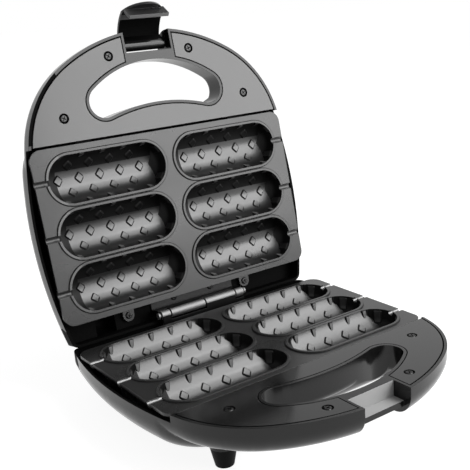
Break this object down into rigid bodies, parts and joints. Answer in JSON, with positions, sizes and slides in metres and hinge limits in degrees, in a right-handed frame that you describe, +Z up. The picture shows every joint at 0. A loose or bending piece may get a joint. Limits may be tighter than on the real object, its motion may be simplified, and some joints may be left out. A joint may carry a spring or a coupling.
{
  "type": "electric sausage maker",
  "caption": "Hinged countertop cooker with rows of sausage pockets in both plates, a grip hole in each half and a latch.",
  "frame": {"origin": "centre of the whole part's bounding box, at the bottom of the feet, as pictured with the lid open", "axes": "+Z up, front (handles and latch of the base) towards -Y, +X to the right when seen from the front"},
  "size_m": [0.243, 0.2884, 0.293],
  "materials": {
    "shell_plastic": "gloss black moulded",
    "base_cover_plastic": "satin black",
    "lid_cover_plastic": "satin black",
    "plate_coating": "cast, dark non-stick coating",
    "latch_plastic": "gloss black moulded",
    "hinge_chrome": "bright plated",
    "screw_steel": "dark plated",
    "foot_plastic": "satin black",
    "gland_plastic": "satin black",
    "element_steel": "oxidised steel sheath",
    "reflector_aluminium": "bright sheet",
    "terminal_plastic": "natural moulded",
    "thermostat_metal": "plain",
    "fuse_sleeve": "glass braid sleeve",
    "red_lens": "clear red",
    "green_lens": "clear green",
    "lamp_glass": "clear"
  },
  "bodies": {
    "base": {"base_shell": "shell_plastic", "base_handle_cover": "base_cover_plastic", "base_cooking_plate": "plate_coating", "base_cover_screws": "screw_steel", "base_plate_screws": "screw_steel", "base_hinge_screws": "screw_steel", "base_heating_element": "element_steel", "base_element_clamp": "element_steel", "base_clamp_screw": "screw_steel", "base_heat_reflector": "reflector_aluminium", "base_hinge_leaf": "hinge_chrome", "hinge_pin": "hinge_chrome", "left_front_foot": "foot_plastic", "right_front_foot": "foot_plastic", "left_rear_foot": "foot_plastic", "right_rear_foot": "foot_plastic", "foot_screws": "screw_steel", "cord_gland": "gland_plastic", "terminal_block": "terminal_plastic", "block_screw": "screw_steel", "thermostat": "thermostat_metal", "thermal_fuse": "fuse_sleeve"},
    "lid": {"lid_shell": "shell_plastic", "lid_handle_cover": "lid_cover_plastic", "lid_cooking_plate": "plate_coating", "lid_cover_screws": "screw_steel", "lid_plate_screws": "screw_steel", "lid_hinge_screws": "screw_steel", "lid_heating_element": "element_steel", "lid_element_clamp": "element_steel", "lid_clamp_screw": "screw_steel", "lid_heat_reflector": "reflector_aluminium", "lid_hinge_leaf": "hinge_chrome", "power_lamp_lens": "red_lens", "ready_lamp_lens": "green_lens", "power_lamp": "lamp_glass", "ready_lamp": "lamp_glass", "latch_pin": "screw_steel"},
    "latch": {"latch": "latch_plastic"}
  },
  "joints": [
    {"name": "lid_hinge", "type": "hinge", "parent": "base", "child": "lid", "pos_m": [0.00455, 0.08183, 0.049], "axis": [-1, 0, 0], "range_deg": [-101.4, 0]},
    {"name": "latch_pivot", "type": "hinge", "parent": "lid", "child": "latch", "pos_m": [0, 0.13188, 0.25926], "axis": [-1, 0, 0], "range_deg": [-48, 0]}
  ]
}
